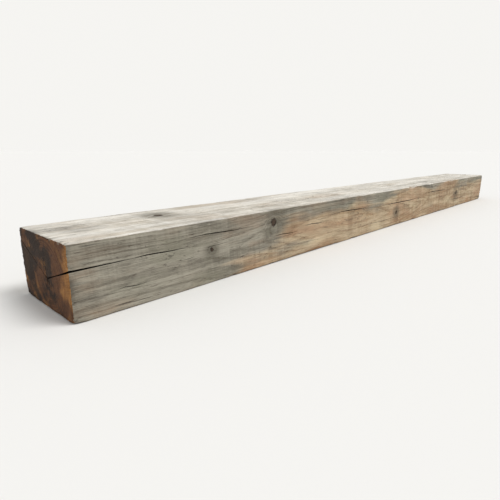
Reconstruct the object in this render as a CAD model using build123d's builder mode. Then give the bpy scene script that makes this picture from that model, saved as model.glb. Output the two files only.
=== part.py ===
"""Oak railway sleeper: one sawn baulk with boxed heart, waney back arrises and drying checks.

Millimetres. +X runs along the sleeper, +Y across it towards the back, +Z up.
The origin is the middle of the bed face that it lies on.
"""

import os
from math import cos, degrees, hypot, pi, radians, sin
from typing import NamedTuple

from build123d import *

# Sawn section and length
length = 2600.0
width = 240.0
height = 150.0
arris = 1.5

# Pith, the centre of the log: off the middle of the section, towards the front and the bed
pith_forward = 16.0
pith_drop = 9.0
pith_y = -pith_forward
pith_z = height / 2 - pith_drop

# Outside of the log, which tapers to the far end and takes the back arrises off there as wane
wane_depth = 17.0
wane_run = 1150.0
log_swell = 26.0
flute_count = 5
flute_depth = 2.2
log_stations = 7
log_points = 15

# Heart check in each end: direction of each arm out from the pith in degrees, and its reach
near_arms = [(24.0, 74.0), (83.0, 40.0), (161.6, 100.0), (226.0, 34.0), (291.0, 52.0)]
far_arms = [(8.0, 58.0), (97.0, 62.0), (141.0, 36.0), (205.0, 84.0), (318.0, 40.0)]
heart_opening = 2.4
near_heart_depth = 150.0
far_heart_depth = 110.0

# Splits that start at an end and close along a face: direction, run, opening at the face
near_splits = [(161.6, 150.0, 4.0), (24.0, 150.0, 3.0)]
far_splits = [(205.0, 260.0, 3.6), (97.0, 190.0, 3.0)]

# Slits that drying has opened in the faces
slit_steps = 8
slit_sway = 1.6


class Check(NamedTuple):
    """Seasoning check: middle is a share of the half length, direction is out from the pith."""

    middle: float
    direction: float
    grain_slope: float
    run: float
    opening: float
    depth: float


front_checks = [
    Check(-0.854, 161.8, 0.4, 165.0, 2.6, 22.0),
    Check(-0.719, 153.4, -0.5, 250.0, 2.4, 18.0),
    Check(-0.908, 191.4, 0.3, 80.0, 2.0, 12.0),
    Check(-0.530, 174.5, -0.6, 130.0, 2.6, 16.0),
    Check(-0.422, 169.0, 0.4, 150.0, 2.2, 14.0),
    Check(-0.250, 160.0, -0.4, 300.0, 3.0, 28.0),
    Check(-0.080, 197.0, -0.9, 340.0, 2.2, 16.0),
    Check(0.060, 165.0, 0.8, 420.0, 3.2, 30.0),
    Check(0.400, 158.0, -0.6, 360.0, 2.6, 22.0),
    Check(0.620, 192.0, 0.7, 380.0, 2.8, 24.0),
]
top_checks = [
    Check(-0.520, 112.0, 0.8, 460.0, 3.0, 26.0),
    Check(0.140, 74.0, -0.5, 620.0, 3.4, 32.0),
    Check(0.600, 104.0, 0.6, 340.0, 2.4, 18.0),
]
back_checks = [
    Check(-0.360, 14.0, -0.6, 540.0, 3.0, 30.0),
    Check(0.220, 349.0, 0.5, 480.0, 2.8, 26.0),
]
bed_checks = [
    Check(-0.160, 262.0, 0.7, 520.0, 2.8, 22.0),
    Check(0.520, 286.0, -0.5, 360.0, 2.4, 18.0),
]


def around_pith(distance, angle):
    """Point of the cross-section, as (across, up), at a distance and direction from the pith."""
    return (pith_y + distance * cos(radians(angle)), pith_z + distance * sin(radians(angle)))


def outline_distance(angle):
    """Distance from the pith to the sawn outline in a direction."""
    across = cos(radians(angle))
    up = sin(radians(angle))
    to_side = width / 2 - pith_y if across > 0 else width / 2 + pith_y
    to_bed_or_top = height - pith_z if up > 0 else pith_z
    return 1 / max(abs(across) / to_side, abs(up) / to_bed_or_top)


def log_radius(from_far_end, angle):
    """Radius of the log: wane_depth short of the back top arris at the far end, and growing."""
    to_arris = hypot(width / 2 - pith_y, height - pith_z)
    growth = min(wane_depth * (from_far_end / wane_run - 1), log_swell)
    flutes = flute_depth * (sin(flute_count * radians(angle) + pi * from_far_end / wane_run) - 1)
    return to_arris + growth + flutes


def end_plane(side):
    """Plane of the far end (side 1) or the near end (side -1), with +X as its normal."""
    return Plane.YZ.offset(side * length / 2)


def heart_check(side, arms, depth):
    """Cutter: a star of thin radial arms about the pith that closes with depth into the end."""
    outline = []
    turned = arms[1:] + [(arms[0][0] + 360, 0)]
    for (angle, arm_reach), (next_angle, _) in zip(arms, turned):
        outline.append(around_pith(arm_reach, angle))
        outline.append(around_pith(heart_opening, (angle + next_angle) / 2))
    with BuildPart() as star:
        with BuildSketch(end_plane(side)) as mouth:
            with BuildLine():
                Polyline(*outline, close=True)
            make_face()
        loft(sections=[mouth.sketch, Vertex(side * (length / 2 - depth), pith_y, pith_z)])
    return star.part


def end_split(side, angle, run, opening):
    """Cutter: a radial wedge from the pith out through one face, closing along the face."""
    beyond = outline_distance(angle) + opening
    spread = degrees(opening / 2 / outline_distance(angle))
    mouth_points = [
        (pith_y, pith_z),
        around_pith(beyond, angle - spread),
        around_pith(beyond, angle + spread),
    ]
    closing_y, closing_z = around_pith(beyond, angle)
    with BuildPart() as wedge:
        with BuildSketch(end_plane(side)) as mouth:
            with BuildLine():
                Polyline(*mouth_points, close=True)
            make_face()
        loft(sections=[mouth.sketch, Vertex(side * (length / 2 - run), closing_y, closing_z)])
    return wedge.part


def seasoning_check(check):
    """Cutter: a long slit in a face, pointed at both ends, that closes towards the pith."""
    face_y, face_z = around_pith(outline_distance(check.direction), check.direction)
    outward = (0, cos(radians(check.direction)), sin(radians(check.direction)))
    middle = (check.middle * length / 2, face_y, face_z)
    face = Plane(origin=middle, x_dir=(1, 0, 0), z_dir=outward)
    mouth_plane = face.rotated((0, 0, check.grain_slope)).offset(check.opening)
    upper, lower = [], []
    for step in range(slit_steps + 1):
        along = check.run * (step / slit_steps - 0.5)
        sway = slit_sway * sin(2 * pi * step / slit_steps)
        half_opening = check.opening / 2 * sin(pi * step / slit_steps)
        upper.append((along, sway + half_opening))
        lower.append((along, sway - half_opening))
    root = face.from_local_coords(Vector(0, 0, -check.depth))
    with BuildPart() as slit:
        with BuildSketch(mouth_plane) as mouth:
            with BuildLine():
                Polyline(*upper, *reversed(lower[1:-1]), close=True)
            make_face()
        loft(sections=[mouth.sketch, Vertex(root)])
    return slit.part


# Each cutter is one drying check
cutters = [heart_check(-1, near_arms, near_heart_depth), heart_check(1, far_arms, far_heart_depth)]
cutters += [end_split(-1, *split) for split in near_splits]
cutters += [end_split(1, *split) for split in far_splits]
cutters += [seasoning_check(check) for check in front_checks + top_checks + back_checks + bed_checks]

with BuildPart() as sleeper:
    # Sawn block with its arrises worn off
    with BuildSketch(end_plane(-1)):
        with Locations((0, height / 2)):
            Rectangle(width, height)
    extrude(amount=length)
    chamfer(sleeper.edges(), arris)

    # Wane, where the section reaches past the outside of the log
    for station in range(log_stations):
        from_far_end = length * station / (log_stations - 1)
        with BuildSketch(Plane.YZ.offset(length / 2 - from_far_end)):
            with BuildLine():
                turns = [360 * turn / log_points for turn in range(log_points)]
                ring = [around_pith(log_radius(from_far_end, turn), turn) for turn in turns]
                Spline(*ring, periodic=True)
            make_face()
    loft(mode=Mode.INTERSECT)

    # Drying checks
    for cutter in cutters:
        add(cutter, mode=Mode.SUBTRACT)

sleeper.part.label = "sleeper"
os.makedirs("parts", exist_ok=True)
export_step(sleeper.part, "parts/sleeper.step")
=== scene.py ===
"""Oak railway sleeper: its sawn surface, grain, checks and weathering, on a plain stage.

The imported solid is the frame. Metres, +X along the sleeper, +Y towards its back, +Z up.
"""

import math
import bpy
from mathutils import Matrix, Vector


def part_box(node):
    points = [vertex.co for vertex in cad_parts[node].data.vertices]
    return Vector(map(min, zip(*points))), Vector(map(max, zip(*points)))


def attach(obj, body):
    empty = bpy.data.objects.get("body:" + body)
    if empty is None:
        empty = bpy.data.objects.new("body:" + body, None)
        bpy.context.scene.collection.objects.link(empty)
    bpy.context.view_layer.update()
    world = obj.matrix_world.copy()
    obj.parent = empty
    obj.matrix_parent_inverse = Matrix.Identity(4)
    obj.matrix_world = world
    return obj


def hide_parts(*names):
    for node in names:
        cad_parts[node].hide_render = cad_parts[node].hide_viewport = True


bl_info = {
    "name": "Oak Sleeper",
    "version": (1, 0, 0),
    "blender": (4, 5, 0),
    "location": "View3D > Sidebar > Sleeper",
    "description": "Gives a sawn oak sleeper its surface relief, timber finishes and stage",
    "category": "Object",
}

from typing import NamedTuple

import bmesh
import bpy
from bpy.props import FloatProperty, FloatVectorProperty, PointerProperty
from mathutils import Euler, Vector

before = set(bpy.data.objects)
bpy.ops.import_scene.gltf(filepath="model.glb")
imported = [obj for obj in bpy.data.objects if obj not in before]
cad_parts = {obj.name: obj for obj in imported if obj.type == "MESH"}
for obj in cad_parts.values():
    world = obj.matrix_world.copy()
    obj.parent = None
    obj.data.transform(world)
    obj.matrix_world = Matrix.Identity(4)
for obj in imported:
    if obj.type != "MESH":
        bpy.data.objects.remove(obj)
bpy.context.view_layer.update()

NODE = "sleeper"
PIECE = "sawn_oak"
LOW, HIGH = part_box(NODE)
SIZE = HIGH - LOW
MIDDLE = (LOW + HIGH) / 2

# Curve from a display value to linear light, past its short straight start
DISPLAY_STEPS = 255
DISPLAY_OFFSET = 0.055
DISPLAY_POWER = 2.4


def paint(red, green, blue):
    """Linear colour, with its alpha, of a display colour in steps of 1/255."""
    shares = [value / DISPLAY_STEPS for value in (red, green, blue)]
    parts = [((share + DISPLAY_OFFSET) / (1 + DISPLAY_OFFSET)) ** DISPLAY_POWER for share in shares]
    return (*parts, 1.0)


def length_setting(name, description, default):
    """Property for a length in metres."""
    return FloatProperty(
        name=name, description=description, default=default, min=0.0, precision=4, unit="LENGTH"
    )


def colour_setting(name, description, *display):
    """Property for a colour, given as a display colour in steps of 1/255."""
    return FloatVectorProperty(
        name=name,
        description=description,
        default=paint(*display),
        size=4,
        min=0.0,
        max=1.0,
        subtype="COLOR",
    )


# Settings


class SleeperLog(bpy.types.PropertyGroup):
    """The log that the sleeper was sawn from"""

    pith_across: FloatProperty(
        name="Pith Across",
        description="Place of the pith across the section",
        default=-0.016,
        precision=4,
        unit="LENGTH",
    )
    pith_up: length_setting("Pith Up", "Height of the pith above the bed", 0.066)
    drift: length_setting("Drift", "How far the pith wanders between the ends", 0.030)
    warp: length_setting("Warp", "How far the rings stray from round", 0.014)
    ring_width: length_setting("Ring Width", "Growth of one year", 0.0042)
    bark_radius: length_setting("Bark Radius", "Distance from the pith to the wane", 0.132)
    wane_reach: length_setting("Wane Reach", "Farthest that the wane is from an arris", 0.036)


class SleeperSurface(bpy.types.PropertyGroup):
    """Relief of the sawn faces"""

    cell_along: length_setting("Cell Along", "Surface cell along the grain", 0.0095)
    cell_across: length_setting("Cell Across", "Surface cell across the grain", 0.0034)
    skin: length_setting("Skin", "How far the cells lie inside the solid", 0.0002)
    proud: length_setting("Proud", "How little relief still leaves a point proud", 0.0009)
    fade: length_setting("Fade", "Depth below a face that the relief still moves", 0.0065)
    hollows: length_setting("Hollows", "Depth of slow hollows in the faces", 0.0013)
    grain: length_setting("Grain", "Depth of the weathered grain", 0.0011)
    saw: length_setting("Saw", "Depth of the saw's marks", 0.0006)
    crosscut: length_setting("Crosscut", "Depth of the lines that the saw left on the ends", 0.0011)
    wear: length_setting("Wear", "Depth worn off the arrises", 0.0008)
    chips: length_setting("Chips", "Depth of chips out of the arrises", 0.0040)
    reach: length_setting("Reach", "Width of the worn band along an arris", 0.0080)
    corners: length_setting("Corners", "Depth worn off the corners", 0.0020)
    corner_reach: length_setting("Corner Reach", "How far a worn corner reaches", 0.022)
    wane: length_setting("Wane", "Depth of the ridges on the wane", 0.0048)


class SleeperColours(bpy.types.PropertyGroup):
    """Colours of the weathered oak. The top's also hold painted sunlight, and the checks' painted shade
    """

    grey: colour_setting("Grey", "Silvered front", 164, 158, 143)
    grey_dark: colour_setting("Grey Streaks", "Dark streaks in the silvered front", 118, 112, 99)
    moss: colour_setting("Moss Grey", "Green tinge in the silvered front", 122, 120, 102)
    tan: colour_setting("Tan", "Oak that is still warm", 200, 180, 150)
    tan_dark: colour_setting("Tan Streaks", "Streaks in the warm oak", 154, 130, 101)
    straw: colour_setting("Straw", "Pale patches in the warm oak", 212, 196, 163)
    # Top colours: oak bleached by the sun, made lighter still as painted sunlight on the top face
    top: colour_setting("Bleached Top", "Top bleached by the sun", 235, 231, 222)
    top_dark: colour_setting("Top Streaks", "Streaks in the bleached top", 194, 186, 171)
    blush: colour_setting("Blush", "Pinkish brown patches", 176, 141, 112)
    bleed: colour_setting("Bleed", "Brown tannin that bled along the arrises", 136, 98, 62)
    smudge: colour_setting("Smudge", "Dark shade about a knot", 86, 81, 68)
    bed: colour_setting("Bed", "Damp underside", 128, 106, 81)
    bed_dark: colour_setting("Bed Streaks", "Dark streaks of the underside", 76, 60, 45)
    gold: colour_setting("Golden End", "Golden end grain", 176, 126, 72)
    gold_dark: colour_setting("Golden Pores", "Pore bands of the golden end grain", 118, 79, 44)
    brown: colour_setting("Brown End", "Red brown end grain", 112, 74, 47)
    brown_dark: colour_setting("Brown Pores", "Pore bands of the brown end grain", 62, 43, 30)
    soot: colour_setting("Tannin", "Black tannin stain", 38, 31, 26)
    knot: colour_setting("Knot", "Core of a knot", 66, 46, 32)
    bark: colour_setting("Inner Bark", "Wane where the bark has come away", 116, 93, 70)
    bark_dark: colour_setting("Bark Furrows", "Furrows of the wane", 54, 42, 32)
    # Near black: painted shade in the checks' depths. The same colour draws the hairline checks, knot
    # cracks and splits
    check: colour_setting("Open Check", "Wood inside a check", 30, 23, 18)


class SleeperStage(bpy.types.PropertyGroup):
    """Floor, light and camera"""

    azimuth: FloatProperty(
        name="Azimuth",
        description="Heading of the camera from +Y",
        default=math.radians(-46.4),
        subtype="ANGLE",
    )
    elevation: FloatProperty(
        name="Elevation",
        description="Angle of the camera above the floor",
        default=math.radians(14.4),
        subtype="ANGLE",
    )
    lens: FloatProperty(name="Lens", description="Focal length", default=28.2, unit="CAMERA")
    place: FloatVectorProperty(
        name="Camera Place",
        description="Where the camera stands",
        default=(-1.55, -0.794, 0.307),
        subtype="TRANSLATION",
    )
    floor: colour_setting("Floor", "Pale floor", 232, 231, 228)
    sky: FloatProperty(name="Sky", description="Strength of the soft light all round", default=0.62)
    key: FloatProperty(name="Key", description="Strength of the overhead light", default=1.9)


# Wiring of node trees


class Pattern(NamedTuple):
    """Noise: features for each metre along X, Y and Z, octaves, how strong the fine ones are,
    and the span of noise over which the pattern goes from none to full.
    """

    stretch: tuple
    detail: float
    rough: float = 0.5
    span: tuple = (0.0, 1.0)


NOISE_MIDDLE = 0.5


class Wiring:
    """Adds nodes to one tree and wires them to the sockets and numbers they are given."""

    # Places of the nodes in the tree
    PER_ROW = 14
    COLUMN = 200
    ROW = 320

    # Sockets of a Mix node, for numbers and for colours
    MIX_INPUTS = {"FLOAT": (0, 2, 3), "RGBA": (0, 6, 7)}
    MIX_OUTPUT = {"FLOAT": 0, "RGBA": 2}

    def __init__(self, tree):
        self.tree = tree

    def feed(self, socket, value):
        """Links an output to a socket, or sets the socket to a plain value."""
        if isinstance(value, bpy.types.NodeSocket):
            self.tree.links.new(value, socket)
        else:
            socket.default_value = value

    def node(self, kind, inputs=None, **settings):
        """Adds a node at the tree's next place, with its settings made and its inputs fed."""
        row, column = divmod(len(self.tree.nodes), self.PER_ROW)
        node = self.tree.nodes.new(kind)
        node.location = (self.COLUMN * column, -self.ROW * row)
        for name, value in settings.items():
            setattr(node, name, value)
        for key, value in (inputs or {}).items():
            self.feed(node.inputs[key], value)
        return node

    def math(self, operation, *values):
        node = self.node("ShaderNodeMath", dict(enumerate(values)), operation=operation)
        return node.outputs[0]

    def vector(self, operation, *values):
        node = self.node("ShaderNodeVectorMath", dict(enumerate(values)), operation=operation)
        is_number = operation in ("LENGTH", "DOT_PRODUCT", "DISTANCE")
        return node.outputs["Value" if is_number else "Vector"]

    def scaled(self, vector, factor):
        inputs = {"Vector": vector, "Scale": factor}
        return self.node("ShaderNodeVectorMath", inputs, operation="SCALE").outputs["Vector"]

    def xyz(self, vector):
        return self.node("ShaderNodeSeparateXYZ", {0: vector}).outputs

    def join(self, x, y, z):
        return self.node("ShaderNodeCombineXYZ", {0: x, 1: y, 2: z}).outputs[0]

    def across(self, vector):
        """Part of a vector that is square to the sleeper's length."""
        return self.vector("MULTIPLY", vector, (0, 1, 1))

    def ease(self, value, low, high, start=0.0, end=1.0):
        """Smooth change from start to end while the value goes from low to high."""
        inputs = {0: value, 1: low, 2: high, 3: start, 4: end}
        node = self.node("ShaderNodeMapRange", inputs, interpolation_type="SMOOTHSTEP")
        return node.outputs[0]

    def line(self, value, low, high, start=0.0, end=1.0):
        """Straight change from start to end while the value goes from low to high."""
        inputs = {0: value, 1: low, 2: high, 3: start, 4: end}
        return self.node("ShaderNodeMapRange", inputs).outputs[0]

    def noise(self, vector, pattern, colour=False):
        """A pattern's bare noise over a vector, from 0 to 1."""
        inputs = {
            "Vector": self.vector("MULTIPLY", vector, pattern.stretch),
            "Scale": 1.0,
            "Detail": pattern.detail,
            "Roughness": pattern.rough,
        }
        node = self.node("ShaderNodeTexNoise", inputs)
        return node.outputs[1 if colour else 0]

    def mask(self, vector, pattern):
        """A pattern over a vector, smooth over its span."""
        return self.ease(self.noise(vector, pattern), *pattern.span)

    def seams(self, vector, pattern):
        """Thin lines where a pattern's noise passes its middle. The span is how near to it."""
        off = self.math("SUBTRACT", self.noise(vector, pattern), NOISE_MIDDLE)
        return self.ease(self.math("ABSOLUTE", off), *pattern.span)

    def stray(self, vector, pattern, reach):
        """Shift across the sleeper by a pattern's noise over a vector, up to a reach each way."""
        off = self.vector("SUBTRACT", self.noise(vector, pattern, colour=True), [NOISE_MIDDLE] * 3)
        return self.scaled(self.across(off), self.math("DIVIDE", reach, NOISE_MIDDLE))

    def mix(self, kind, factor, first, second):
        """Goes from the first to the second while the factor goes from 0 to 1."""
        inputs = dict(zip(self.MIX_INPUTS[kind], (factor, first, second)))
        node = self.node("ShaderNodeMix", inputs, data_type=kind)
        return node.outputs[self.MIX_OUTPUT[kind]]

    def colour(self, factor, first, second):
        return self.mix("RGBA", factor, first, second)

    def coats(self, colour, *coats):
        """Lays coats over a colour, each given as its mask, its strength and its own colour."""
        for mask, strength, coat in coats:
            colour = self.colour(self.math("MULTIPLY", mask, strength), colour, coat)
        return colour

    def group(self, group, **inputs):
        """Places a node group and returns its outputs."""
        kind = "GeometryNodeGroup" if self.tree.type == "GEOMETRY" else "ShaderNodeGroup"
        return self.node(kind, inputs, node_tree=group).outputs


SHADING = "ShaderNodeTree"
MODELLING = "GeometryNodeTree"
SOCKETS = {"vector": "NodeSocketVector", "value": "NodeSocketFloat", "shape": "NodeSocketGeometry"}


def new_group(name, inputs, outputs, kind=SHADING):
    """Node group with named sockets, as its wiring, what it is given and what it gives back."""
    tree = bpy.data.node_groups.new(name, kind)
    for direction, sockets in (("INPUT", inputs), ("OUTPUT", outputs)):
        for label, holds in sockets.items():
            tree.interface.new_socket(name=label, in_out=direction, socket_type=SOCKETS[holds])
    wiring = Wiring(tree)
    return wiring, wiring.node("NodeGroupInput").outputs, wiring.node("NodeGroupOutput").inputs


# The timber's own patterns


def pith_at(log, along=0.0):
    """Place of the pith, so far along the sleeper from its middle, before it wanders."""
    return (along, log.pith_across, log.pith_up)


class Knot(NamedTuple):
    """Knot: place along the sleeper, bearing about the pith, radius 100 mm out, and lean."""

    along: float
    bearing: float
    radius: float
    lean: float


KNOTS = [
    Knot(-0.760, 153.9, 0.0095, 0.10),
    Knot(-0.965, 171.8, 0.0045, -0.05),
    Knot(0.050, 186.0, 0.0065, -0.10),
    Knot(0.790, 172.0, 0.0105, 0.12),
    Knot(-1.020, 61.0, 0.0105, 0.08),
    Knot(0.500, 118.0, 0.0085, -0.12),
    Knot(-0.750, 9.0, 0.0120, 0.10),
    Knot(0.560, 347.0, 0.0080, -0.08),
    Knot(-0.400, 265.0, 0.0110, 0.10),
    Knot(0.800, 281.0, 0.0080, 0.05),
]

# A knot's radius at the pith, and how far out it has swollen to its own
KNOT_START = 0.0008
KNOT_SIZED_AT = 0.1

# In a knot's radii: how far its edge strays, how far and from where the rings bulge about it,
# and the distance that stands for no knot near
KNOT_STRAY = (-0.55, 0.45)
BULGE = 0.9
BULGE_REACH = 4.5
NO_KNOT = 9.0

# The pith's drift grows over this length from each end, and the rings' warp over this radius
DRIFT_GROWTH = 0.5
WARP_GROWTH = 0.07
PITH_DRIFT = Pattern((0.9, 1, 1), 1)
RING_WARP = Pattern((1.4, 11, 11), 2)
KNOT_EDGE = Pattern((60, 90, 90), 3, 0.6, (0.2, 0.8))


def log_space(log, kind=SHADING):
    """Group that reads a place in the log: from its wandering pith, and beside its knots."""
    wiring, given, result = new_group(
        "Log Space",
        {"Position": "vector"},
        {"Local": "vector", "Radius": "value", "Knot Ratio": "value"},
        kind,
    )
    position = given["Position"]
    x, _, _ = wiring.xyz(position)
    local = wiring.vector("SUBTRACT", position, pith_at(log))
    reach = wiring.math("ABSOLUTE", x)
    reach = wiring.ease(reach, HIGH.x, HIGH.x - DRIFT_GROWTH, 0.0, log.drift)
    local = wiring.vector("ADD", local, wiring.stray(wiring.join(x, 0, 0), PITH_DRIFT, reach))
    reach = wiring.vector("LENGTH", wiring.across(local))
    reach = wiring.ease(reach, 0.0, WARP_GROWTH, 0.0, log.warp)
    local = wiring.vector("ADD", local, wiring.stray(position, RING_WARP, reach))
    radius = wiring.vector("LENGTH", wiring.across(local))
    ragged = wiring.line(wiring.noise(position, KNOT_EDGE), *KNOT_EDGE.span, *KNOT_STRAY)
    nearest, push = NO_KNOT, 0.0
    for knot in KNOTS:
        turn = math.radians(knot.bearing)
        axis = Vector((knot.lean, math.cos(turn), math.sin(turn))).normalized()
        away = wiring.vector("SUBTRACT", position, pith_at(log, knot.along))
        out = wiring.vector("DOT_PRODUCT", away, axis)
        aside = wiring.vector("LENGTH", wiring.vector("SUBTRACT", away, wiring.scaled(axis, out)))
        swell = wiring.line(out, 0.0, KNOT_SIZED_AT, KNOT_START, knot.radius)
        ratio = wiring.math("ADD", wiring.math("DIVIDE", aside, swell), ragged)
        nearest = wiring.math("MINIMUM", nearest, ratio)
        bulge = wiring.ease(ratio, BULGE_REACH, 1.0, 0.0, BULGE * knot.radius)
        push = wiring.math("ADD", push, bulge)
    wiring.feed(result["Local"], local)
    wiring.feed(result["Radius"], wiring.math("SUBTRACT", radius, push))
    wiring.feed(result["Knot Ratio"], nearest)
    return wiring.tree


# Widths over which the outside of the log and the wane's reach fade in
BARK_FADE = 0.004
WANE_FADE = 0.006


def block_place(log, kind=SHADING):
    """Group that reads how far a place is from the sawn faces, and if it is where the wane is."""
    wiring, given, result = new_group(
        "Block Place",
        {"Position": "vector"},
        {
            "Gaps": "vector",
            "Depth": "value",
            "Arris": "value",
            "Corner": "value",
            "End": "value",
            "Bark": "value",
        },
        kind,
    )
    centred = wiring.vector("SUBTRACT", given["Position"], MIDDLE)
    gaps = wiring.vector("SUBTRACT", SIZE / 2, wiring.vector("ABSOLUTE", centred))
    x, y, z = wiring.xyz(gaps)
    least = wiring.math("MINIMUM", x, wiring.math("MINIMUM", y, z))
    most = wiring.math("MAXIMUM", x, wiring.math("MAXIMUM", y, z))
    total = wiring.math("ADD", x, wiring.math("ADD", y, z))
    second = wiring.math("SUBTRACT", wiring.math("SUBTRACT", total, least), most)
    away = wiring.across(wiring.vector("SUBTRACT", given["Position"], pith_at(log)))
    outside = log.bark_radius
    bark = wiring.ease(wiring.vector("LENGTH", away), outside - BARK_FADE, outside)
    by_arris = wiring.math("MAXIMUM", y, z)
    by_arris = wiring.ease(by_arris, log.wane_reach, log.wane_reach - WANE_FADE)
    wiring.feed(result["Gaps"], gaps)
    wiring.feed(result["Depth"], least)
    wiring.feed(result["Arris"], second)
    wiring.feed(result["Corner"], most)
    wiring.feed(result["End"], x)
    wiring.feed(result["Bark"], wiring.math("MULTIPLY", bark, by_arris))
    return wiring.tree


# The saw's bands: broad and fine, the fine ones' share, and the patches where they show
SAW_BROAD = Pattern((34, 1, 1), 1)
SAW_FINE = Pattern((150, 1, 1), 1)
SAW_FINE_SHARE = 0.38
SAW_SPAN = (0.34, 0.66)
SAW_PATCHES = Pattern((2.5, 7, 7), 2, 0.5, (0.35, 0.62))

# How far the bands' places move for each metre along, across and up, and by their waver
SAW_LEAN = (1.0, 0.07, 0.10)
SAW_WAVER = Pattern((2, 5, 5), 1)
SAW_WAVER_REACH = 0.012

# The crosscut's lines over the ends, and how far they climb for each metre across
CROSSCUT = Pattern((105, 9, 1), 3, 0.6, (0.32, 0.68))
CROSSCUT_CLIMB = 0.35


def saw_marks(kind=SHADING):
    """Group for the saw's marks: uneven bands across the faces, slanting lines over the ends."""
    wiring, given, result = new_group(
        "Saw Marks", {"Position": "vector"}, {"Band": "value", "Crosscut": "value"}, kind
    )
    position = given["Position"]
    _, y, z = wiring.xyz(position)
    waver = wiring.noise(position, SAW_WAVER)
    waver = wiring.line(waver, *SAW_WAVER.span, -SAW_WAVER_REACH, SAW_WAVER_REACH)
    leaning = wiring.vector("DOT_PRODUCT", position, SAW_LEAN)
    place = wiring.join(wiring.math("ADD", leaning, waver), 0, 0)
    broad, fine = wiring.noise(place, SAW_BROAD), wiring.noise(place, SAW_FINE)
    band = wiring.ease(wiring.mix("FLOAT", SAW_FINE_SHARE, broad, fine), *SAW_SPAN)
    band = wiring.math("MULTIPLY", band, wiring.mask(position, SAW_PATCHES))
    climb = wiring.math("MULTIPLY_ADD", y, CROSSCUT_CLIMB, z)
    wiring.feed(result["Band"], band)
    wiring.feed(result["Crosscut"], wiring.mask(wiring.join(climb, y, 0), CROSSCUT))
    return wiring.tree


# Fat and lean growth shifts the rings, by up to so many years
GROWTH = Pattern((45, 1, 1), 1)
GROWTH_SHIFT = 1.6

# Spans of a year in which its band of pores thins out, and the next one starts
PORES_STOP = (0.42, 0.05)
PORES_START = (0.90, 1.0)


def growth_rings():
    """Group for the rings: a dark band of pores in spring, then denser wood, year by year."""
    wiring, given, result = new_group(
        "Growth Rings",
        {"Radius": "value", "Width": "value"},
        {"Pores": "value", "Year": "value"},
    )
    shift = wiring.noise(wiring.join(given["Radius"], 0, 0), GROWTH)
    shift = wiring.line(shift, *GROWTH.span, -GROWTH_SHIFT, GROWTH_SHIFT)
    years = wiring.math("DIVIDE", given["Radius"], given["Width"])
    years = wiring.math("ADD", years, shift)
    season = wiring.math("FRACT", years)
    stop, start = wiring.ease(season, *PORES_STOP), wiring.ease(season, *PORES_START)
    tone = wiring.node("ShaderNodeTexWhiteNoise", noise_dimensions="1D")
    wiring.feed(tone.inputs["W"], wiring.math("FLOOR", years))
    wiring.feed(result["Pores"], wiring.math("MAXIMUM", stop, start))
    wiring.feed(result["Year"], tone.outputs["Value"])
    return wiring.tree


# Streaks along the grain, open pores, and hairline checks with the stretches that have them
BROAD_STREAKS = Pattern((2.2, 60, 60), 3, 0.62, (0.28, 0.72))
FINE_STREAKS = Pattern((14, 420, 420), 3, 0.7, (0.3, 0.7))
DASHES = Pattern((55, 760, 760), 1, 0.5, (0.60, 0.68))
HAIRLINES = Pattern((6, 400, 400), 2, 0.45, (0.675, 0.71))
HAIRLINE_PLACES = Pattern((3.2, 17, 17), 1, 0.5, (0.42, 0.60))


def fibre():
    """Group for the grain's streaks, broad and fine, its open pores and its hairline checks."""
    wiring, given, result = new_group(
        "Fibre",
        {"Local": "vector", "Position": "vector"},
        {"Broad": "value", "Fine": "value", "Dashes": "value", "Hairline": "value"},
    )
    local = given["Local"]
    fine = wiring.line(wiring.noise(local, FINE_STREAKS), *FINE_STREAKS.span)
    here = wiring.mask(given["Position"], HAIRLINE_PLACES)
    wiring.feed(result["Broad"], wiring.mask(local, BROAD_STREAKS))
    wiring.feed(result["Fine"], fine)
    wiring.feed(result["Dashes"], wiring.mask(local, DASHES))
    wiring.feed(result["Hairline"], wiring.math("MULTIPLY", wiring.mask(local, HAIRLINES), here))
    return wiring.tree


# Flecks of the rays on the long faces, and on the ends their lines and the splits along them
RAY_FLECKS = Pattern((16, 70, 70), 1, 0.5, (0.62, 0.72))
RAY_LINES = Pattern((5, 44, 44), 2, 0.5, (0.58, 0.68))
RAY_SPLITS = Pattern((2, 15, 15), 1, 0.5, (0.008, 0.002))
SPLIT_PLACES = Pattern((4, 32, 32), 1, 0.5, (0.48, 0.60))


def rays():
    """Group for the rays: thin sheets that stand on the pith, as flecks and radial lines."""
    wiring, given, result = new_group(
        "Rays",
        {"Local": "vector"},
        {"Fleck": "value", "Line": "value", "Split": "value"},
    )
    local = given["Local"]
    x, _, _ = wiring.xyz(local)
    flat = wiring.across(local)
    bearing = wiring.vector("NORMALIZE", flat)
    along = wiring.vector("ADD", bearing, wiring.join(x, 0, 0))
    outward = wiring.vector("ADD", bearing, wiring.join(wiring.vector("LENGTH", flat), 0, 0))
    split = wiring.math("MULTIPLY", wiring.seams(outward, RAY_SPLITS), wiring.mask(local, SPLIT_PLACES))
    wiring.feed(result["Fleck"], wiring.mask(along, RAY_FLECKS))
    wiring.feed(result["Line"], wiring.mask(outward, RAY_LINES))
    wiring.feed(result["Split"], split)
    return wiring.tree


# In a knot's radii: spans off its edge for the dark rim, and off its middle for its core and
# for the shade about it. Its rings turn from dark to light or back so often in each radius
RIM_SPAN = (0.34, 0.05)
CORE_SPAN = (1.08, 0.86)
SHADE_SPAN = (7.5, 1.0)
RINGLET_TURNS = 5.0

# Cracks in a knot's core, and the patches where its shade shows
KNOT_CRACKS = Pattern((85, 85, 85), 1, 0.5, (0.035, 0.010))
SHADE_PATCHES = Pattern((9, 24, 24), 3, 0.6, (0.30, 0.52))


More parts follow.
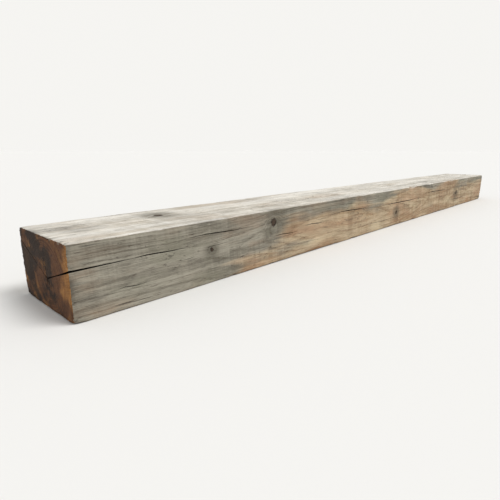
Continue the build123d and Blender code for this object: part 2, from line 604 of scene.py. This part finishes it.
def knots():
    """Group for the look of a knot: core, dark rim, rings round it, and the shade about it."""
    wiring, given, result = new_group(
        "Knots",
        {"Ratio": "value", "Position": "vector"},
        {"Core": "value", "Rim": "value", "Ringlets": "value", "Crack": "value", "Shade": "value"},
    )
    ratio, position = given["Ratio"], given["Position"]
    rim = wiring.math("ABSOLUTE", wiring.math("SUBTRACT", ratio, 1.0))
    core = wiring.ease(ratio, *CORE_SPAN)
    ringlets = wiring.math("PINGPONG", wiring.math("MULTIPLY", ratio, RINGLET_TURNS), 1.0)
    cracks = wiring.seams(position, KNOT_CRACKS)
    patchy = wiring.mask(position, SHADE_PATCHES)
    wiring.feed(result["Core"], core)
    wiring.feed(result["Rim"], wiring.ease(rim, *RIM_SPAN))
    wiring.feed(result["Ringlets"], wiring.math("MULTIPLY", ringlets, core))
    wiring.feed(result["Crack"], wiring.math("MULTIPLY", cracks, core))
    wiring.feed(result["Shade"], wiring.math("MULTIPLY", wiring.ease(ratio, *SHADE_SPAN), patchy))
    return wiring.tree


# Ragged patches, and spots of mould with the stretches that have them
PATCHES = Pattern((4.5, 15, 15), 5, 0.62)
SPOTS = Pattern((60, 95, 95), 2, 0.6, (0.63, 0.69))
SPOT_PLACES = Pattern((6, 14, 14), 2, 0.5, (0.48, 0.64))


def blotches():
    """Group for stains: ragged dark patches, and small spots of mould."""
    wiring, given, result = new_group(
        "Blotches", {"Position": "vector"}, {"Patch": "value", "Spots": "value"}
    )
    position = given["Position"]
    spots = wiring.math("MULTIPLY", wiring.mask(position, SPOTS), wiring.mask(position, SPOT_PLACES))
    wiring.feed(result["Patch"], wiring.noise(position, PATCHES))
    wiring.feed(result["Spots"], spots)
    return wiring.tree


# The sleeper's surface


INTO_WOOD = "into_wood"
HOLLOWS = Pattern((1.6, 11, 11), 2)
WEATHERED_GRAIN = Pattern((4, 85, 85), 2, 0.55, (0.34, 0.66))
CHIPS = Pattern((17, 30, 30), 2, 0.6, (0.56, 0.72))
RIDGES = Pattern((6, 48, 48), 3, 0.6, (0.3, 0.7))

# Depth below the sawn faces at which the wane's ridges start
WANE_START = 0.001


def sawn_relief(surface, log):
    """Modifier tree that sinks the surface by hollows, grain, saw marks, wear and chips.

    Each point keeps how deep it was below the sawn faces, which tells faces from checks.
    """
    shape = {"Shape": "shape"}
    wiring, given, result = new_group("Sawn Relief", shape, shape, MODELLING)
    position = wiring.node("GeometryNodeInputPosition").outputs[0]
    block = wiring.group(block_place(log, MODELLING), Position=position)
    timber = wiring.group(log_space(log, MODELLING), Position=position)
    saw = wiring.group(saw_marks(MODELLING), Position=position)
    depth = wiring.node(
        "GeometryNodeStoreNamedAttribute",
        {"Geometry": given["Shape"], "Name": INTO_WOOD, "Value": block["Depth"]},
    )

    # How much is gone from the surface, along the grain and at the ends
    hollows = wiring.math("MULTIPLY", wiring.noise(position, HOLLOWS), surface.hollows)
    grain = wiring.math("MULTIPLY", wiring.mask(timber["Local"], WEATHERED_GRAIN), surface.grain)
    sawn = wiring.math("MULTIPLY", saw["Band"], surface.saw)
    knocks = wiring.ease(block["Corner"], surface.corner_reach, 0.0, surface.wear, surface.corners)
    wear = wiring.math("MULTIPLY_ADD", wiring.mask(position, CHIPS), surface.chips, knocks)
    wear = wiring.math("MULTIPLY", wear, wiring.ease(block["Arris"], surface.reach, 0.0))
    hollowed = wiring.math("SUBTRACT", wiring.math("ADD", hollows, wear), surface.proud)
    along = wiring.math("ADD", hollowed, wiring.math("ADD", grain, sawn))
    across = wiring.math("ADD", hollowed, wiring.math("MULTIPLY", saw["Crosscut"], surface.crosscut))
    sunk = wiring.vector("MAXIMUM", wiring.join(across, along, along), (0, 0, 0))

    # Each face moves straight in, less so with depth below it
    fade = Vector([surface.fade] * 3)
    near = wiring.vector("DIVIDE", wiring.vector("SUBTRACT", fade, block["Gaps"]), fade)
    near = wiring.vector("MAXIMUM", near, (0, 0, 0))
    outward = wiring.vector("SIGN", wiring.vector("SUBTRACT", position, MIDDLE))
    push = wiring.vector("MULTIPLY", wiring.vector("MULTIPLY", near, outward), sunk)

    # The wane moves in towards the pith
    on_wane = wiring.ease(block["Depth"], WANE_START, surface.fade)
    on_wane = wiring.math("MULTIPLY", block["Bark"], on_wane)
    ridges = wiring.math("MULTIPLY", wiring.mask(position, RIDGES), on_wane)
    ridges = wiring.math("MULTIPLY", ridges, surface.wane)
    radial = wiring.across(wiring.vector("SUBTRACT", position, pith_at(log)))
    radial = wiring.vector("NORMALIZE", radial)
    push = wiring.vector("ADD", push, wiring.scaled(radial, ridges))

    margin = Vector([surface.skin] * 3)
    place = wiring.vector("MINIMUM", wiring.vector("SUBTRACT", position, push), HIGH - margin)
    place = wiring.vector("MAXIMUM", place, LOW + margin)
    moved = wiring.node("GeometryNodeSetPosition", {"Geometry": depth.outputs[0], "Position": place})
    wiring.feed(result["Shape"], moved.outputs[0])
    return wiring.tree


FEWEST_CELLS = 2

# Share of its length by which an edge has to run along an axis
ALONG_SHARE = 0.9

# Points this near are merged, facets this nearly in one plane are joined, and edges that turn
# less than this look round
SAME_POINT = 1e-6
SAME_PLANE = math.radians(0.05)
SMOOTH_BELOW = math.radians(38)


def pick(shape):
    """Makes a shape the only selected object, and the active one."""
    bpy.ops.object.select_all(action="DESELECT")
    shape.select_set(True)
    bpy.context.view_layer.objects.active = shape


def slice_across(shape, axis, count):
    """Cuts all of a shape by evenly spaced planes, half a cell off the grid's own lines."""
    normal = [float(k == axis) for k in range(3)]
    pick(shape)
    bpy.ops.object.mode_set(mode="EDIT")
    for cut in range(count):
        place = [0.0, 0.0, 0.0]
        place[axis] = LOW[axis] + SIZE[axis] * (cut + 0.5) / count
        bpy.ops.mesh.select_all(action="SELECT")
        bpy.ops.mesh.bisect(plane_co=place, plane_no=normal)
    bpy.ops.object.mode_set(mode="OBJECT")


def split_edges(shape, axis, cuts):
    """Divides every edge of a shape that runs along an axis."""
    bpy.ops.mesh.select_all(action="DESELECT")
    cells = bmesh.from_edit_mesh(shape.data)
    for edge in cells.edges:
        run = edge.verts[1].co - edge.verts[0].co
        edge.select_set(abs(run[axis]) > ALONG_SHARE * run.length)
    bmesh.update_edit_mesh(shape.data)
    bpy.ops.mesh.subdivide(number_cuts=cuts)


def whole_cells(surface):
    """Cells of the grid along X, Y and Z, as how many coarse cells and how many in each."""
    coarse = 1
    sizes = (surface.cell_along, surface.cell_across, surface.cell_across)
    cells = []
    for extent, size in zip(SIZE, sizes):
        wanted = extent / size / coarse
        first = max(FEWEST_CELLS, round(math.sqrt(wanted)))
        cells.append((first, max(FEWEST_CELLS, round(wanted / first))))
    return cells


def grid_block(surface, cells):
    """Block of even cells, a skin's thickness inside the sawn faces."""
    bpy.ops.object.select_all(action="DESELECT")
    bpy.ops.mesh.primitive_cube_add(
        size=1, location=MIDDLE, scale=[extent - 2 * surface.skin for extent in SIZE]
    )
    block = bpy.context.active_object
    bpy.ops.object.transform_apply(location=True, rotation=True, scale=True)
    bpy.ops.object.mode_set(mode="EDIT")
    bpy.ops.mesh.select_mode(type="EDGE")
    for axis, counts in enumerate(cells):
        for count in counts:
            split_edges(block, axis, count - 1)
    bpy.ops.object.mode_set(mode="OBJECT")
    return block


def solid_copy(cells):
    """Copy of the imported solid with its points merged, sliced so that its facets stay small."""
    source = bpy.data.objects.new("Solid Copy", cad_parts[NODE].data.copy())
    bpy.context.collection.objects.link(source)
    pick(source)
    bpy.ops.object.mode_set(mode="EDIT")
    bpy.ops.mesh.select_all(action="SELECT")
    bpy.ops.mesh.remove_doubles(threshold=SAME_POINT)
    bpy.ops.mesh.dissolve_limited(angle_limit=SAME_PLANE)
    bpy.ops.object.mode_set(mode="OBJECT")
    for axis, counts in enumerate(cells):
        slice_across(source, axis, math.prod(counts))
    return source


class SLEEPER_OT_timber(bpy.types.Operator):
    """Models the sawn baulk with its checks, wane, worn arrises and surface relief"""

    bl_idname = "sleeper.timber"
    bl_label = "Model Timber"

    def execute(self, context):
        surface, log = context.scene.sleeper_surface, context.scene.sleeper_log
        cells = whole_cells(surface)
        solid = solid_copy(cells)
        timber = grid_block(surface, cells)
        timber.name = timber.data.name = PIECE
        cut = timber.modifiers.new("Checks and Wane", "BOOLEAN")
        cut.operation = "INTERSECT"
        cut.solver = "EXACT"
        cut.object = solid
        relief = timber.modifiers.new("Sawn Relief", "NODES")
        relief.node_group = sawn_relief(surface, log)
        pick(timber)
        for modifier in (cut.name, relief.name):
            bpy.ops.object.modifier_apply(modifier=modifier)
        bpy.data.objects.remove(solid)
        if not timber.data.polygons:
            raise RuntimeError("The cut took the whole sleeper away")
        timber.data.materials.clear()
        bpy.ops.object.shade_smooth_by_angle(angle=SMOOTH_BELOW)
        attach(timber, "root")
        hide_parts(NODE)
        return {"FINISHED"}


# Finishes


DULL_SHINE = 0.3


def new_material(name):
    """Empty node material, as its wiring and its shader."""
    material = bpy.data.materials.new(name)
    material.use_nodes = True
    material.node_tree.nodes.clear()
    wiring = Wiring(material.node_tree)
    shader = wiring.node("ShaderNodeBsdfPrincipled")
    output = wiring.node("ShaderNodeOutputMaterial")
    wiring.feed(output.inputs["Surface"], shader.outputs[0])
    shader.inputs["Specular IOR Level"].default_value = DULL_SHINE
    return material, wiring, shader


# Depths below the sawn faces between which wood starts to be the inside of a check, coloured near black
# there as painted shade (the wane keeps its own colours)
INSIDE_SPAN = (0.0007, 0.0015)


def read_timber(wiring, groups, log):
    """Places the timber's groups in a material and returns what they read, by name."""
    place = wiring.node("ShaderNodeTexCoord").outputs
    position = place["Object"]
    timber = wiring.group(groups["log"], Position=position)
    read = (
        wiring.group(groups["block"], Position=position),
        timber,
        wiring.group(groups["rings"], Radius=timber["Radius"], Width=log.ring_width),
        wiring.group(groups["fibre"], Local=timber["Local"], Position=position),
        wiring.group(groups["rays"], Local=timber["Local"]),
        wiring.group(groups["knots"], Ratio=timber["Knot Ratio"], Position=position),
        wiring.group(groups["saw"], Position=position),
        wiring.group(groups["blotches"], Position=position),
    )
    found = {"Position": position, "Normal": place["Normal"]}
    for outputs in read:
        found.update({socket.name: socket for socket in outputs})
    depth = wiring.node("ShaderNodeAttribute", attribute_name=INTO_WOOD).outputs["Fac"]
    found["Inside"] = wiring.ease(depth, *INSIDE_SPAN)
    return found


class GrainFinish(NamedTuple):
    """How a finish shows the timber: each pattern's share in how light it is and in its relief,
    the relief's depth in metres, and the roughness of its dark and light wood.
    """

    tone: dict
    tone_span: tuple
    relief: dict
    bump: float
    rough: tuple


def add_up(wiring, read, shares):
    """Sum of the patterns read from the timber, each times its share."""
    total = 0.0
    for name, share in shares.items():
        total = wiring.math("MULTIPLY_ADD", read[name], share, total)
    return total


def finish(wiring, shader, grain, colour, tone, relief):
    """Feeds the shader its colour, its roughness by tone, and its relief as a bump."""
    normal = wiring.node("ShaderNodeBump", {"Height": relief, "Distance": grain.bump})
    wiring.feed(shader.inputs["Base Color"], colour)
    wiring.feed(shader.inputs["Roughness"], wiring.line(tone, 0, 1, *grain.rough))
    wiring.feed(shader.inputs["Normal"], normal.outputs[0])


LONG_GRAIN = GrainFinish(
    tone={"Broad": 0.33, "Fine": 0.36, "Year": 0.16, "Fleck": 0.12, "Pores": -0.18, "Band": -0.26},
    tone_span=(-0.06, 0.66),
    relief={
        "Fine": 0.45,
        "Pores": -0.16,
        "Dashes": -0.30,
        "Band": -0.22,
        "Hairline": -0.9,
        "Crack": -0.9,
    },
    bump=0.0012,
    rough=(0.93, 0.80),
)

# Drifts between grey and warm oak, tinges, tannin that bled, mottling, and the wane's furrows
DRIFTS = Pattern((2.4, 9, 9), 3, 0.55, (0.25, 0.75))
TINGES = Pattern((5, 19, 19), 4, 0.6)
BLEEDS = Pattern((5, 24, 24), 4, 0.6, (0.48, 0.66))
MOTTLES = Pattern((8, 18, 18), 5, 0.62, (0.3, 0.7))
MOTTLE_SHADES = (0.77, 1.13)
FURROWS = Pattern((9, 62, 62), 4, 0.65, (0.36, 0.62))

# The warm oak's upper edge on the front: the run from the near end in which it rises, its
# height before and after as shares of the sleeper's, how far drifts and streaks shift it,
# and how softly it ends
WARM_RUN = (0.10, 0.95)
WARM_RISE = (-0.42, 0.90)
WARM_DRIFTS = 0.70
WARM_STREAKS = 0.14
WARM_EDGE = 0.24


def front_warmth(wiring, read, drift):
    """Warm oak that comes up from the front's lower edge, more so away from the near end."""
    x, _, z = wiring.xyz(read["Position"])
    edge = wiring.ease(wiring.math("SUBTRACT", x, LOW.x), *WARM_RUN, *WARM_RISE)
    edge = wiring.math("ADD", edge, wiring.line(drift, *DRIFTS.span, -WARM_DRIFTS, WARM_DRIFTS))
    edge = wiring.math("ADD", edge, wiring.line(read["Broad"], 0, 1, -WARM_STREAKS, WARM_STREAKS))
    height = wiring.math("DIVIDE", z, SIZE.z)
    return wiring.ease(wiring.math("SUBTRACT", edge, height), -WARM_EDGE, WARM_EDGE)


# Spans of the tinges' noise that bring a second colour into the grey and into the tan
PINK_GREY = (0.50, 0.66)
MOSSY_GREY = (0.47, 0.34)
PINK_TAN = (0.48, 0.66)
STRAW_TAN = (0.46, 0.34)

# Spans of the drifts' noise in which the back is warm, and the top
WARM_BACK = (0.34, 0.54)
WARM_TOP = (0.50, 0.68)

# How far from an arris tannin bled, and how strongly into grey and into warm oak
BLEED_REACH = 0.055
BLEED_STRENGTHS = (0.22, 0.60)

# Spans of a normal's part across and up over which a surface faces the back, the sky or the bed
FACING_BACK = (0.3, 0.7)
FACING_UP = (0.35, 0.8)
FACING_DOWN = (-0.35, -0.8)

# Depths over which the top's colours, with their painted sunlight, and the bed's own colours end, and
# sooner in chips this near an end
LEVEL_DEPTHS = (0.016, 0.006)
CHIP_DEPTHS = (0.0010, 0.0024)
CHIP_REACH = (0.014, 0.004)


def sawn_faces(wiring, read, colours, tone):
    """Colours of the sawn long faces under their marks, and the silvered grey among them."""
    drift = wiring.noise(read["Position"], DRIFTS)
    tinge = wiring.noise(read["Position"], TINGES)
    warm = front_warmth(wiring, read, drift)
    grey = wiring.coats(
        wiring.colour(tone, colours.grey_dark, colours.grey),
        (wiring.ease(tinge, *PINK_GREY), 0.18, colours.blush),
        (wiring.ease(tinge, *MOSSY_GREY), 0.40, colours.moss),
    )
    tan = wiring.coats(
        wiring.colour(tone, colours.tan_dark, colours.tan),
        (wiring.ease(tinge, *PINK_TAN), 0.55, colours.blush),
        (wiring.ease(tinge, *STRAW_TAN), 0.55, colours.straw),
    )
    # Painted sunlight: the top's colours are lighter than the bleached oak alone
    top = wiring.colour(tone, colours.top_dark, colours.top)
    top = wiring.coats(top, (wiring.ease(drift, *WARM_TOP), 0.40, tan))
    bed = wiring.colour(tone, colours.bed_dark, colours.bed)
    front = wiring.colour(warm, grey, tan)
    back = wiring.colour(wiring.ease(drift, *WARM_BACK), grey, tan)

    bleed = wiring.mask(read["Position"], BLEEDS)
    bleed = wiring.math("MULTIPLY", bleed, wiring.ease(read["Arris"], BLEED_REACH, 0.0))
    bleed = wiring.math("MULTIPLY", bleed, wiring.line(warm, 0, 1, *BLEED_STRENGTHS))
    end_gap, _, level_gap = wiring.xyz(read["Gaps"])
    chipped = wiring.ease(level_gap, *CHIP_DEPTHS)
    chipped = wiring.math("MULTIPLY", chipped, wiring.ease(end_gap, *CHIP_REACH))
    level = wiring.math("SUBTRACT", wiring.ease(level_gap, *LEVEL_DEPTHS), chipped)

    _, back_part, up_part = wiring.xyz(read["Normal"])
    colour = wiring.colour(wiring.ease(back_part, *FACING_BACK), front, back)
    colour = wiring.colour(bleed, colour, colours.bleed)
    # Facets that face up take the top's colours, with their painted sunlight
    colour = wiring.coats(
        colour,
        (wiring.ease(up_part, *FACING_UP), level, top),
        (wiring.ease(up_part, *FACING_DOWN), level, bed),
    )
    mottle = wiring.line(wiring.noise(read["Position"], MOTTLES), *MOTTLES.span, *MOTTLE_SHADES)
    return wiring.scaled(colour, mottle), grey


# Stains gather within a reach of the ends and the arrises, by a gain over elsewhere
STAIN_SPAN = (0.60, 0.80)
STAIN_END_REACH = 0.22
STAIN_END_GAIN = 0.13
STAIN_ARRIS_REACH = 0.018
STAIN_ARRIS_GAIN = 0.05

# How dark open pores are in dense wood and in a year's band of pores
PORE_STRENGTHS = (0.10, 0.55)

# Span of the patches' noise in which the wane has gone grey
GREY_WANE = (0.48, 0.62)


def long_grain(groups, log, colours):
    """Long faces: silvered front that warms to tan, bleached top with painted sunlight, damp bed, tan
    back, wane, and checks near black as painted shade.
    """
    material, wiring, shader = new_material("Long Grain")
    read = read_timber(wiring, groups, log)
    tone = wiring.ease(add_up(wiring, read, LONG_GRAIN.tone), *LONG_GRAIN.tone_span)
    colour, grey = sawn_faces(wiring, read, colours, tone)

    # Stains, knots, pores and hairline checks lie over the sawn faces
    by_end = wiring.ease(read["End"], STAIN_END_REACH, 0.0, 0.0, STAIN_END_GAIN)
    by_arris = wiring.ease(read["Arris"], STAIN_ARRIS_REACH, 0.0, 0.0, STAIN_ARRIS_GAIN)
    stain = wiring.math("ADD", read["Patch"], wiring.math("ADD", by_end, by_arris))
    ringed = wiring.coats(colours.knot, (read["Ringlets"], 0.30, colours.smudge))
    pores = wiring.line(read["Pores"], 0, 1, *PORE_STRENGTHS)
    colour = wiring.coats(
        colour,
        (wiring.ease(stain, *STAIN_SPAN), 0.65, colours.soot),
        (read["Spots"], 0.45, colours.soot),
        (read["Shade"], 0.68, colours.smudge),
        (read["Core"], 0.92, ringed),
        (read["Rim"], 0.62, colours.soot),
        (read["Crack"], 0.85, colours.check),
        (read["Dashes"], pores, colours.knot),
        (read["Hairline"], 0.80, colours.check),
    )

    # Checks are coloured near black inside as painted shade, and the wane is bare sapwood with the last
    # of the bark
    furrows = wiring.noise(read["Position"], FURROWS)
    bark = wiring.colour(wiring.ease(furrows, *FURROWS.span), colours.bark_dark, colours.bark)
    bark = wiring.coats(bark, (wiring.ease(read["Patch"], *GREY_WANE), 0.60, grey))
    # Painted shade: the insides of the checks are near black
    inside = wiring.colour(read["Bark"], colours.check, bark)
    colour = wiring.colour(read["Inside"], colour, inside)
    relief = add_up(wiring, read, LONG_GRAIN.relief)
    relief = wiring.math("MULTIPLY_ADD", furrows, read["Bark"], relief)
    finish(wiring, shader, LONG_GRAIN, colour, tone, relief)
    return material


END_GRAIN = GrainFinish(
    tone={"Fine": 0.34, "Year": 0.34, "Pores": -0.30, "Line": 0.18, "Crosscut": 0.16},
    tone_span=(-0.20, 0.78),
    relief={"Fine": 0.40, "Pores": -0.40, "Crosscut": 0.35, "Line": 0.20, "Split": -0.80},
    bump=0.0011,
    rough=(0.95, 0.84),
)

# Golden patches in the brown, and how much more there is at the far end
GOLD = Pattern((1, 13, 13), 3, 0.55, (0.47, 0.62))
FAR_GOLD = 0.20

# The near end is blackest towards the back, the far end along its top: the stretch across or
# up it, and how much less and more black there is from one side of that to the other
NEAR_BLACK_ACROSS = (-0.09, 0.09)
NEAR_BLACK_GAIN = (-0.10, 0.17)
FAR_BLACK_UP = (0.04, 0.15)
FAR_BLACK_GAIN = (-0.12, 0.13)
BLACK_SPAN = (0.50, 0.61)

# Radii between which the end darkens to the pith
PITH_SPAN = (0.009, 0.002)


def end_grain(groups, log, colours):
    """Ends: rings and rays about the pith, red brown to golden, with black tannin."""
    material, wiring, shader = new_material("End Grain")
    read = read_timber(wiring, groups, log)
    x, y, z = wiring.xyz(read["Position"])
    tone = wiring.ease(add_up(wiring, read, END_GRAIN.tone), *END_GRAIN.tone_span)
    brown = wiring.colour(tone, colours.brown_dark, colours.brown)
    gold = wiring.colour(tone, colours.gold_dark, colours.gold)
    far = wiring.math("GREATER_THAN", x, MIDDLE.x)
    golden = wiring.math("MULTIPLY_ADD", far, FAR_GOLD, wiring.noise(read["Position"], GOLD))
    near_black = wiring.line(y, *NEAR_BLACK_ACROSS, *NEAR_BLACK_GAIN)
    far_black = wiring.line(z, *FAR_BLACK_UP, *FAR_BLACK_GAIN)
    black = wiring.math("ADD", read["Patch"], wiring.mix("FLOAT", far, near_black, far_black))
    colour = wiring.coats(
        wiring.colour(wiring.ease(golden, *GOLD.span), brown, gold),
        (wiring.ease(black, *BLACK_SPAN), 0.88, colours.soot),
        (read["Spots"], 0.50, colours.soot),
        (wiring.ease(read["Radius"], *PITH_SPAN), 0.70, colours.check),
        (read["Split"], 0.85, colours.check),
        # Painted shade: near black inside the checks of the ends
        (read["Inside"], 1.00, colours.check),
    )
    finish(wiring, shader, END_GRAIN, colour, tone, add_up(wiring, read, END_GRAIN.relief))
    return material


# End grain lies this near an end, on facets that face it this squarely or lie this far in
LONG, END = range(2)
END_REACH = 0.006
END_TURN = 0.5


def finish_of(facet):
    """Which finish a facet has: end grain on the ends and on the lips of their checks."""
    x, y, z = (SIZE[k] / 2 - abs(facet.center[k] - MIDDLE[k]) for k in range(3))
    if x > END_REACH:
        return LONG
    return END if abs(facet.normal.x) > END_TURN or min(y, z) > END_REACH else LONG


class SLEEPER_OT_finish(bpy.types.Operator):
    """Makes the oak's finishes and gives each facet of the sleeper its own"""

    bl_idname = "sleeper.finish"
    bl_label = "Finish Timber"

    def execute(self, context):
        scene = context.scene
        log, colours = scene.sleeper_log, scene.sleeper_colours
        groups = {
            "block": block_place(log),
            "log": log_space(log),
            "saw": saw_marks(),
            "rings": growth_rings(),
            "fibre": fibre(),
            "rays": rays(),
            "knots": knots(),
            "blotches": blotches(),
        }
        timber = bpy.data.objects[PIECE]
        for make in (long_grain, end_grain):
            timber.data.materials.append(make(groups, log, colours))
        for facet in timber.data.polygons:
            facet.material_index = finish_of(facet)
        return {"FINISHED"}


# Stage


# The floor, the lamp's place, where its light comes from and how broad it looks, and the camera
FLOOR_RADIUS = 120.0
FLOOR_SIDES = 96
FLOOR_ROUGH = 0.9
KEY_PLACE = (1.0, -1.0, 3.0)
KEY_FROM = Vector((0.30, -0.42, 0.86))
KEY_SPREAD = math.radians(28)
SENSOR_WIDTH = 36.0


def pale_floor(stage):
    """Wide round floor under the sleeper."""
    bpy.ops.mesh.primitive_circle_add(
        vertices=FLOOR_SIDES, radius=FLOOR_RADIUS, fill_type="NGON", location=(0, 0, LOW.z)
    )
    floor = bpy.context.active_object
    bpy.ops.object.transform_apply(location=True)
    floor.name = "floor"
    material, _, shader = new_material("Pale Floor")
    shader.inputs["Base Color"].default_value = stage.floor
    shader.inputs["Roughness"].default_value = FLOOR_ROUGH
    floor.data.materials.append(material)


def overhead_light(stage):
    """Broad soft light from high up in front."""
    bpy.ops.object.light_add(type="SUN", location=KEY_PLACE)
    key = bpy.context.active_object
    key.name = "Overhead Softbox"
    key.data.energy = stage.key
    key.data.angle = KEY_SPREAD
    key.rotation_euler = KEY_FROM.to_track_quat("Z", "Y").to_euler()


def studio_world(stage):
    """Soft light all round, seen as a backdrop of the lit floor's own colour."""
    world = bpy.data.worlds.new("Studio")
    world.use_nodes = True
    world.node_tree.nodes.clear()
    wiring = Wiring(world.node_tree)
    lit = wiring.node("ShaderNodeBackground", {"Color": (1, 1, 1, 1), "Strength": stage.sky})
    level = stage.sky + stage.key * KEY_FROM.normalized().z / math.pi
    backdrop = [part * level for part in stage.floor[:3]]
    seen = wiring.node("ShaderNodeBackground", {"Color": (*backdrop, 1), "Strength": 1.0})
    path = wiring.node("ShaderNodeLightPath").outputs
    direct = wiring.math("MAXIMUM", path["Is Camera Ray"], path["Is Glossy Ray"])
    mixed = wiring.node("ShaderNodeMixShader", {0: direct, 1: lit.outputs[0], 2: seen.outputs[0]})
    output = wiring.node("ShaderNodeOutputWorld")
    wiring.feed(output.inputs["Surface"], mixed.outputs[0])
    return world


def stage_camera(stage):
    """Camera at its place, level, and turned to its azimuth and elevation."""
    bpy.ops.object.camera_add(location=stage.place)
    camera = bpy.context.active_object
    camera.name = "Camera"
    camera.rotation_euler = Euler((math.pi / 2 - stage.elevation, 0.0, stage.azimuth))
    camera.data.lens = stage.lens
    camera.data.sensor_width = SENSOR_WIDTH
    return camera


class SLEEPER_OT_stage(bpy.types.Operator):
    """Sets the pale floor, the soft light and the camera"""

    bl_idname = "sleeper.stage"
    bl_label = "Set Stage"

    def execute(self, context):
        scene = context.scene
        stage = scene.sleeper_stage
        bpy.ops.object.select_all(action="DESELECT")
        pale_floor(stage)
        overhead_light(stage)
        scene.world = studio_world(stage)
        scene.camera = stage_camera(stage)
        scene.view_settings.view_transform = "Standard"
        return {"FINISHED"}


# Panel, and the order of the steps


class SLEEPER_PT_panel(bpy.types.Panel):
    """Settings and steps of the sleeper"""

    bl_label = "Sleeper"
    bl_idname = "SLEEPER_PT_panel"
    bl_space_type = "VIEW_3D"
    bl_region_type = "UI"
    bl_category = "Sleeper"

    def draw(self, context):
        for settings in SETTINGS:
            group = getattr(context.scene, settings)
            box = self.layout.box()
            box.label(text=settings.replace("_", " ").title())
            for name in group.__annotations__:
                box.prop(group, name)
        for operator in STEPS:
            self.layout.operator(operator.bl_idname)


SETTINGS = {
    "sleeper_log": SleeperLog,
    "sleeper_surface": SleeperSurface,
    "sleeper_colours": SleeperColours,
    "sleeper_stage": SleeperStage,
}
STEPS = (SLEEPER_OT_timber, SLEEPER_OT_finish, SLEEPER_OT_stage)
CLASSES = (*SETTINGS.values(), *STEPS, SLEEPER_PT_panel)


def register():
    for cls in CLASSES:
        bpy.utils.register_class(cls)
    for name, cls in SETTINGS.items():
        setattr(bpy.types.Scene, name, PointerProperty(type=cls))


def unregister():
    for name in SETTINGS:
        delattr(bpy.types.Scene, name)
    for cls in reversed(CLASSES):
        bpy.utils.unregister_class(cls)


def main():
    register()
    bpy.ops.sleeper.timber()
    bpy.ops.sleeper.finish()
    bpy.ops.sleeper.stage()


if __name__ == "__main__":
    main()
